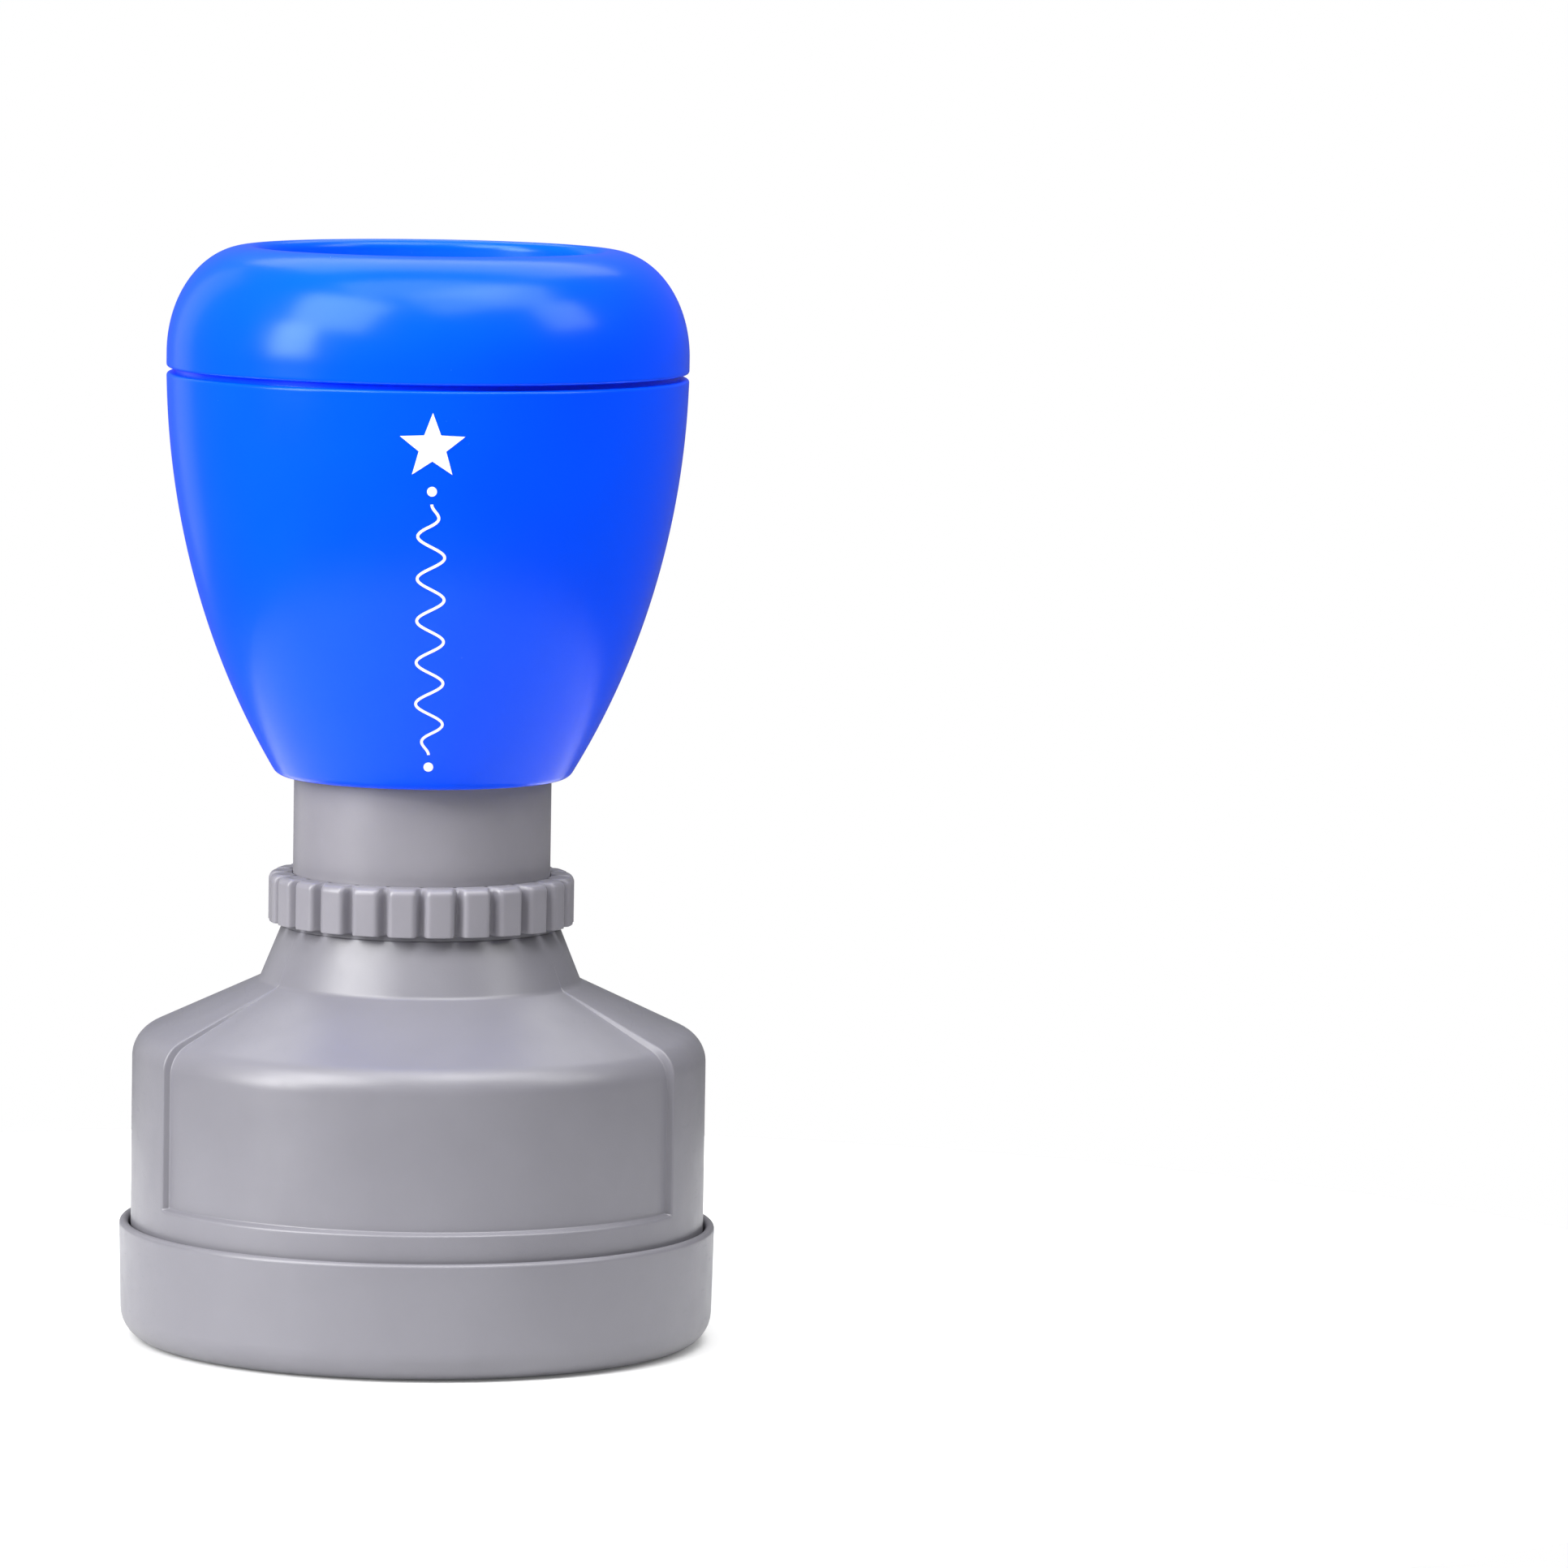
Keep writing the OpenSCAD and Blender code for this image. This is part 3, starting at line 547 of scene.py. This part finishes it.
# Knurled ring: one tooth and its groove, repeated round the axis
knurl = {
    "low": footOf("knurled_ring"), "high": topOf("knurled_ring"), "tip": 13.3, "root": 12.3,
    "bore": 11.25, "teeth": 25, "tipShare": 0.66, "wallRun": 0.46, "tipRound": 0.5, "rootRound": 0.46,
    "topRound": 0.62, "boreRound": 0.15, "tipFoot": 0.07, "rootFoot": 0.34,
}


# Across one pitch: (distance round the rim from the groove's middle, radius)
def toothOutline():
    pitchMm = math.tau * knurl["tip"] / knurl["teeth"]
    grooveHalf = pitchMm * (1 - knurl["tipShare"]) / 2
    half = filletPath([
        (0, knurl["root"]), (grooveHalf - knurl["wallRun"], knurl["root"], knurl["rootRound"]),
        (grooveHalf, knurl["tip"], knurl["tipRound"]), (pitchMm / 2, knurl["tip"])],
        arcSteps=5, straightSteps=2, hold=0.08)
    mirrored = [(pitchMm - x, r) for x, r in half[::-1]][1:]
    return [tuple(p) for p in half] + mirrored, pitchMm


outline, pitchMm = toothOutline()
sectorPoints = []
for x, r in outline:
    a = front + x / pitchMm * math.tau / knurl["teeth"]
    depth = (knurl["tip"] - r) / (knurl["tip"] - knurl["root"])
    foot = knurl["tipFoot"] + (knurl["rootFoot"] - knurl["tipFoot"]) * depth
    path = filletPath([
        (knurl["bore"], knurl["low"]), (knurl["bore"], knurl["high"], knurl["boreRound"]),
        (r, knurl["high"], knurl["topRound"]), (r, knurl["low"], foot), (knurl["bore"], knurl["low"])],
        arcSteps=6, straightSteps=2)
    sectorPoints.append([(px * math.cos(a), px * math.sin(a), pz) for px, pz in path])
sectorPoints = np.array(sectorPoints)
cols, per = sectorPoints.shape[:2]
sector = bpy.data.meshes.new("toothSector")
sector.from_pydata((sectorPoints.reshape(-1, 3) * mm).tolist(), [], [
    (i * per + j, (i + 1) * per + j, (i + 1) * per + j + 1, i * per + j + 1)
    for i in range(cols - 1) for j in range(per - 1)])
# The ring's paler grey is painted light
knurledRing = runTree("knurledRing", sector, repeatTree, {"Count": knurl["teeth"], "Finish": neckPaintedLightPlastic})
replaceNode(knurledRing, "knurled_ring", "nut")
print("knurled ring made")

# Handle: the shell below the parting groove, the domed cap above it
bulbFoot, parting = footOf("handle_shell"), topOf("handle_shell")
bulb = {
    "radius": radiusOf("handle_cap"), "footRadius": 12.7, "footRound": 1.2,
    "sideHalfHeight": 63.0, "sideCentre": parting + 1.3,
    "grooveWidth": 0.45, "grooveDepth": 0.8, "lipRound": 0.28,
    "bore": 11.3, "sleeve": 12.9, "sleeveTop": bulbFoot + 18.7, "cavity": bulbFoot + 7.5,
    "wallInset": 2.9, "ledge": parting - 6.2, "socketWall": 1.9,
    "boreRound": 0.3, "socketRound": 0.15, "ledgeRound": 0.1, "sleeveRound": 0.2, "steps": 224,
}
dome = {
    "dishRadius": 15.6, "dishWall": 14.8, "dishZ": footOf("index_label"), "dishRound": 0.8,
    "dishCorner": 0.6, "dishFloor": 1.8, "top": topOf("handle_cap"), "browZ": parting + 1.8,
    "skin": 2.0, "innerAngle": 72,
    "spigotLow": footOf("handle_cap"), "spigotWall": 1.6, "spigotRoom": 0.1, "spigotRound": 0.2,
}


# The side follows an ellipse: how far in it is at a height, as a share of the ellipse's half width
def sideShare(z):
    return 1 - math.sqrt(1 - ((bulb["sideCentre"] - z) / bulb["sideHalfHeight"]) ** 2)


sideWidth = (bulb["radius"] - bulb["footRadius"]) / sideShare(bulbFoot)


def sideRadius(z):
    return bulb["radius"] - sideWidth * sideShare(z)


def arcPoints(middle, reachX, reachZ, angles):
    x, z = middle
    return [np.array([x + reachX * math.cos(a), z + reachZ * math.sin(a)]) for a in angles]


socket = sideRadius(bulb["ledge"]) - bulb["socketWall"]
lean = math.atan(sideRadius(bulbFoot + 1.1) - sideRadius(bulbFoot + 0.1))  # slope of the side's first mm
meetZ = bulbFoot + bulb["footRound"] * (1 - math.sin(lean))
footMiddle = (sideRadius(meetZ) - bulb["footRound"] * math.cos(lean), bulbFoot + bulb["footRound"])
footTurn = np.linspace(-math.pi / 2, -lean, 12)[1:]
shellPath = list(filletPath([
    (bulb["bore"], bulbFoot + 0.5), (bulb["bore"], bulbFoot, bulb["boreRound"]),
    (footMiddle[0], bulbFoot)]))
shellPath += arcPoints(footMiddle, bulb["footRound"], bulb["footRound"], footTurn)
shellPath += [np.array([sideRadius(z), z]) for z in np.linspace(meetZ, parting - 1.0, 60)[1:]]
shellPath += list(filletPath([
    (sideRadius(parting - 0.8), parting - 0.8), (bulb["radius"], parting, bulb["lipRound"]),
    (socket, parting, bulb["socketRound"]), (socket, bulb["ledge"], bulb["ledgeRound"]),
    (socket - 1, bulb["ledge"])], arcSteps=8))
shellPath += [np.array([max(sideRadius(z) - bulb["wallInset"], bulb["sleeve"] + 0.4), z])
              for z in np.linspace(bulb["ledge"] - 0.3, bulb["cavity"], 24)]
shellPath += list(filletPath([
    (bulb["sleeve"], bulb["cavity"]), (bulb["sleeve"], bulb["sleeveTop"], bulb["sleeveRound"]),
    (bulb["bore"], bulb["sleeveTop"], bulb["sleeveRound"]), (bulb["bore"], bulbFoot + 0.5)],
    straightSteps=6))
handleShell = turnedPiece("handleShell", shellPath, bluePlastic, bulb["steps"])
replaceNode(handleShell, "handle_shell", "handle")

seam = parting + bulb["grooveWidth"]
browR, browRise = bulb["radius"] - dome["dishRadius"], dome["top"] - dome["browZ"]
browMiddle = (dome["dishRadius"], dome["browZ"])
rimMiddle = (dome["dishRadius"], dome["top"] - dome["dishRound"])
grooveFloor = bulb["radius"] - bulb["grooveDepth"]
spigot = socket - dome["spigotRoom"]
spigotBore = spigot - dome["spigotWall"]
dishUnder = dome["dishZ"] - dome["dishFloor"]
domePath = list(filletPath([
    (0, dome["dishZ"]), (dome["dishWall"], dome["dishZ"], dome["dishCorner"]),
    (dome["dishWall"], rimMiddle[1])], arcSteps=8))
domePath += arcPoints(rimMiddle, dome["dishRound"], dome["dishRound"],
                      np.linspace(math.pi, math.pi / 2, 11)[1:])
domePath += arcPoints(browMiddle, browR, browRise, np.linspace(math.pi / 2, 0, 50)[1:])
domePath += list(filletPath([
    (bulb["radius"], dome["browZ"] - 0.3), (bulb["radius"], seam, bulb["lipRound"]),
    (grooveFloor, seam), (grooveFloor, parting), (spigot, parting),
    (spigot, dome["spigotLow"], dome["spigotRound"]),
    (spigotBore, dome["spigotLow"], dome["spigotRound"]), (spigotBore, parting + 0.8)], arcSteps=8))
domePath += arcPoints(browMiddle, browR - dome["skin"], browRise - dome["skin"],
                      np.linspace(0, math.radians(dome["innerAngle"]), 16))
domePath += [np.array([dome["dishRadius"] + 0.9, dishUnder]), np.array([0, dishUnder])]
handleCap = turnedPiece("handleCap", domePath, bluePlastic, bulb["steps"])
replaceNode(handleCap, "handle_cap", "handle")
print("handle turned")

# Lens over the index label
lens = {
    "radius": radiusOf("label_lens"), "low": topOf("index_label") + 0.03, "high": topOf("label_lens"),
    "lowEdge": 0.1, "highEdge": 0.3,
}
lensPath = filletPath([
    (0, lens["low"]), (lens["radius"], lens["low"], lens["lowEdge"]),
    (lens["radius"], lens["high"], lens["highEdge"]), (0, lens["high"])])
labelLens = turnedPiece("labelLens", lensPath, clearAcrylic, 128)
replaceNode(labelLens, "label_lens", "handle")

# Return spring, wound once at rest between the guide bush and the spring washer
spring = {
    "turns": 8.0, "radius": 6.5, "wire": 0.45, "clearance": 0.02, "endRise": 2.1, "stepsPerTurn": 44,
    "low": topOf("guide_bush"), "high": footOf("spring_washer"), "travel": 4.6,
}
returnSpring = runTree("returnSpring", bpy.data.meshes.new("returnSpring"), coilTree, {
    "Turns": spring["turns"], "Coil Radius": spring["radius"] * mm, "Wire Radius": spring["wire"] * mm,
    "Low": (spring["low"] + spring["wire"] + spring["clearance"]) * mm,
    "High": (spring["high"] - spring["wire"] - spring["clearance"]) * mm,
    "End Rise": spring["wire"] * spring["endRise"] * mm,
    "Steps": int(spring["turns"] * spring["stepsPerTurn"]) + 1, "Finish": springSteel})
replaceNode(returnSpring, "return_spring", "base")
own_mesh(returnSpring)
print("lens and spring made")

# A thin solid from an outline round its own middle, laid on a surface by place(u, v, lift)
def inkShape(verts, faces, outline, middle, place, low, high, rings=5):
    outline = np.array(outline, float)
    count = len(outline)
    base = len(verts)
    for lift in (high, low):
        verts.append(place(*middle, lift))
        for k in range(1, rings + 1):
            for u, v in np.array(middle) + (outline - np.array(middle)) * k / rings:
                verts.append(place(u, v, lift))
    block = 1 + rings * count
    for layer in (0, 1):
        at = base + layer * block
        for j in range(count):
            n = (j + 1) % count
            fan = (at, at + 1 + j, at + 1 + n)
            faces.append(fan if layer == 0 else fan[::-1])
            for k in range(rings - 1):
                a, b = at + 1 + k * count, at + 1 + (k + 1) * count
                quad = (a + j, b + j, b + n, a + n)
                faces.append(quad if layer == 0 else quad[::-1])
    edge = 1 + (rings - 1) * count
    for j in range(count):
        n = (j + 1) % count
        faces.append((base + edge + j, base + block + edge + j, base + block + edge + n, base + edge + n))


def inkLine(verts, faces, points, width, place, low, high):
    points = np.array(points, float)
    along = np.gradient(points, axis=0)
    along /= np.linalg.norm(along, axis=1)[:, None]
    across = np.stack([-along[:, 1], along[:, 0]], axis=1) * width / 2
    base = len(verts)
    for (u, v), (du, dv) in zip(points, across):
        verts += [place(u + du, v + dv, high), place(u - du, v - dv, high),
                  place(u - du, v - dv, low), place(u + du, v + dv, low)]
    for i in range(len(points) - 1):
        a, b = base + i * 4, base + (i + 1) * 4
        faces.extend((a + k, a + (k + 1) % 4, b + (k + 1) % 4, b + k) for k in range(4))
    last = base + (len(points) - 1) * 4
    faces.append((base + 3, base + 2, base + 1, base))
    faces.append((last, last + 1, last + 2, last + 3))


def starOutline(middle, reach, waist=0.42, sides=5, steps=5):
    corners = []
    for k in range(sides * 2):
        r = reach if k % 2 == 0 else reach * waist
        a = math.pi / 2 + k * math.pi / sides
        corners.append(np.array([middle[0] + r * math.cos(a), middle[1] + r * math.sin(a)]))
    following = corners[1:] + corners[:1]
    return [a + (b - a) * t / steps for a, b in zip(corners, following) for t in range(steps)]


def roundOutline(middle, reach, steps=20):
    return [(middle[0] + reach * math.cos(a), middle[1] + reach * math.sin(a))
            for a in np.linspace(0, math.tau, steps, endpoint=False)]


def inkObject(name, verts, faces, material, body):
    mesh = bpy.data.meshes.new(name)
    mesh.from_pydata([tuple(c * mm for c in v) for v in verts], [], faces)
    mesh.materials.append(material)
    cleanMesh(mesh)
    made = addObject(name, mesh)
    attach(made, body)
    return made


# Laid round the front of the handle: u is the way round to the right, v is the height
def onHandle(u, v, lift):
    r = sideRadius(v)
    a = front + u / r
    return ((r + lift) * math.cos(a), (r + lift) * math.sin(a), v)


mark = {
    "starU": 0.45, "starZ": 79.5, "starReach": 2.9, "waveTop": 74.6, "waveBottom": 52.6, "waves": 6,
    "waveReach": 1.15, "waveFade": 2.0, "lineWidth": 0.24, "lineSteps": 330,
    "dotReach": 0.42, "dotGap": 1.1, "ink": 0.03, "sink": -0.03,
}
verts, faces = [], []
starMiddle = (mark["starU"], mark["starZ"])
starShape = starOutline(starMiddle, mark["starReach"])
inkShape(verts, faces, starShape, starMiddle, onHandle, mark["sink"], mark["ink"], 7)
waveHeights = np.linspace(mark["waveTop"], mark["waveBottom"], mark["lineSteps"])
toEnd = np.minimum(waveHeights - mark["waveBottom"], mark["waveTop"] - waveHeights)
swing = mark["waveReach"] * np.clip(toEnd / mark["waveFade"], 0, 1)
waveLength = (mark["waveTop"] - mark["waveBottom"]) / mark["waves"]
waveTurn = (mark["waveTop"] - waveHeights) / waveLength * math.tau
wave = np.stack([mark["starU"] + swing * np.sin(waveTurn), waveHeights], axis=1)
inkLine(verts, faces, wave, mark["lineWidth"], onHandle, mark["sink"], mark["ink"])
for z in (mark["waveTop"] + mark["dotGap"], mark["waveBottom"] - mark["dotGap"]):
    dotMiddle = (mark["starU"], z)
    dotShape = roundOutline(dotMiddle, mark["dotReach"])
    inkShape(verts, faces, dotShape, dotMiddle, onHandle, mark["sink"], mark["ink"], 3)
inkObject("frontPrint", verts, faces, whiteInk, "handle")

# The die's raised print and the matching print on the label: a star in a ring of dots
seal = {
    "starReach": 6.5, "ringRadius": 17.2, "ringWidth": 0.7,
    "dots": 36, "dotRadius": 13.6, "dotReach": 0.55,
    "dieHeight": 0.22, "labelHeight": 0.012, "labelScale": 0.72,
}


def sealPrint(name, z, height, scale, material, body):
    def flat(u, v, lift):
        return (u * scale, v * scale, z + lift)

    low, high = min(0, height), max(0, height)
    verts, faces = [], []
    inkShape(verts, faces, starOutline((0, 0), seal["starReach"]), (0, 0), flat, low, high, 2)
    star = inkObject(name + "Star", verts, faces, material, body)
    verts, faces = [], []
    dotMiddle = (seal["dotRadius"], 0)
    inkShape(verts, faces, roundOutline(dotMiddle, seal["dotReach"], 14), dotMiddle, flat, low, high, 2)
    dot = bpy.data.meshes.new(name + "Dot")
    dot.from_pydata([tuple(c * mm for c in v) for v in verts], [], faces)
    dots = runTree(name + "Dots", dot, repeatTree, {"Count": seal["dots"], "Finish": material})
    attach(dots, body)
    inside, outer = seal["ringRadius"] * scale, (seal["ringRadius"] + seal["ringWidth"]) * scale
    corner = min(0.05, abs(height) / 3)
    ring = turnedPiece(name + "Ring", filletPath([
        (inside, z + low), (outer, z + low, corner), (outer, z + high, corner),
        (inside, z + high, corner), (inside, z + low)], arcSteps=3, straightSteps=1), material, 160)
    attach(ring, body)


sealPrint("diePrint", footOf("stamp_die"), -seal["dieHeight"], 1.0, inkedFoam, "handle")
sealPrint("labelPrint", topOf("index_label"), seal["labelHeight"], seal["labelScale"], inkedFoam,
          "handle")
print("prints laid on")

# The inner pieces keep their shapes and take their finishes
innerFinish = {
    "guide_bush": blackPlastic, "ring_washer": greyPlastic, "spring_washer": springSteel,
    "plunger": naturalPlastic, "stop_ring": blackRubber, "carrier": naturalPlastic,
    "carrier_screw": springSteel, "screw_washer": springSteel, "ink_plugs": blackRubber,
    "reservoir_pad": inkedFelt, "stamp_die": dieFoam, "clamp_ring": naturalPlastic,
    "index_label": labelPaper,
}
for name, material in innerFinish.items():
    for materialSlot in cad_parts[name].material_slots:
        materialSlot.material = material
print("inner pieces finished")

# Floor, light and camera, in metres
studio = {
    "floorRadius": 0.13, "floorSteps": 96, "floorDrop": 0.00002, "floorGlow": 0.1,
    "worldStrength": 0.16, "lampDistance": 0.95, "aimHeight": 0.055,
}
# around is in degrees from the front, to the right; up is above the horizon
lamps = {
    "key": {"power": 11.5, "size": (0.6, 0.5), "around": -50, "up": 42},
    "keyLow": {"power": 7.4, "size": (0.34, 0.38), "around": -63, "up": 16},
    "side": {"power": 6.8, "size": (0.85, 0.42), "around": 40, "up": 62},
    "sideLow": {"power": 2.8, "size": (0.36, 0.34), "around": 72, "up": 36},
    "top": {"power": 5.0, "size": (0.9, 0.4), "around": 0, "up": 76},
    "rim": {"power": 0.5, "size": (0.35, 0.9), "around": -138, "up": 12},
    "back": {"power": 3.5, "size": (0.9, 0.6), "around": 176, "up": 56},
}
floorMesh = bpy.data.meshes.new("studioFloor")
steps = studio["floorSteps"]
rim = [(studio["floorRadius"] * math.cos(a), studio["floorRadius"] * math.sin(a), 0)
       for a in np.linspace(0, math.tau, steps, endpoint=False)]
floorMesh.from_pydata([(0, 0, 0)] + rim, [], [(0, 1 + i, 1 + (i + 1) % steps) for i in range(steps)])
floorMesh.materials.append(floorPaint)
studioFloor = addObject("studioFloor", floorMesh)
studioFloor.location.z = -studio["floorDrop"]
glow = floorPaint.node_tree.nodes["Principled BSDF"].inputs
glow["Emission Color"].default_value = (1, 1, 1, 1)
glow["Emission Strength"].default_value = studio["floorGlow"]

# The camera sees a plain white world; its light on the stamp is much weaker
world = bpy.data.worlds.new("studioWorld")
scene.world = world
world.use_nodes = True
worldTree = world.node_tree
worldTree.nodes.clear()
white = (1, 1, 1, 1)
seen = addNode(worldTree, "ShaderNodeBackground", {"Color": white, "Strength": 1.0})
lit = addNode(worldTree, "ShaderNodeBackground", {"Color": white, "Strength": studio["worldStrength"]})
ray = addNode(worldTree, "ShaderNodeLightPath").outputs["Is Camera Ray"]
both = addNode(worldTree, "ShaderNodeMixShader", {0: ray, 1: lit.outputs[0], 2: seen.outputs[0]})
addNode(worldTree, "ShaderNodeOutputWorld", {"Surface": both.outputs[0]})


def softbox(name, look):
    light = bpy.data.lights.new(name + "Softbox", "AREA")
    light.shape = "RECTANGLE"
    light.size, light.size_y = look["size"]
    light.energy = look["power"]
    lamp = addObject(name + "Softbox", light)
    a, e = math.radians(look["around"]), math.radians(look["up"])
    way = Vector((math.sin(a) * math.cos(e), -math.cos(a) * math.cos(e), math.sin(e)))
    lamp.location = Vector((0, 0, studio["aimHeight"])) + way * studio["lampDistance"]
    lamp.rotation_euler = way.to_track_quat("Z", "Y").to_euler()


for name, look in lamps.items():
    softbox(name, look)

cameraPlace = {
    "place": (0, -0.827, 0.135), "lens": 219.2, "sensor": 36, "clipStart": 0.05,
    "turn": 2.178, "tilt": 5.933, "roll": 0.976,
}
cameraData = bpy.data.cameras.new("studioCamera")
cameraData.lens = cameraPlace["lens"]
cameraData.sensor_width = cameraPlace["sensor"]
cameraData.clip_start = cameraPlace["clipStart"]
studioCamera = addObject("studioCamera", cameraData)
studioCamera.matrix_world = (
    Matrix.Translation(cameraPlace["place"])
    @ Matrix.Rotation(-math.radians(cameraPlace["turn"]), 4, "Z")
    @ Matrix.Rotation(math.radians(90 - cameraPlace["tilt"]), 4, "X")
    @ Matrix.Rotation(math.radians(cameraPlace["roll"]), 4, "Z"))
scene.camera = studioCamera
scene.view_settings.view_transform = "Standard"
scene.view_settings.look = "None"
print("studio set")
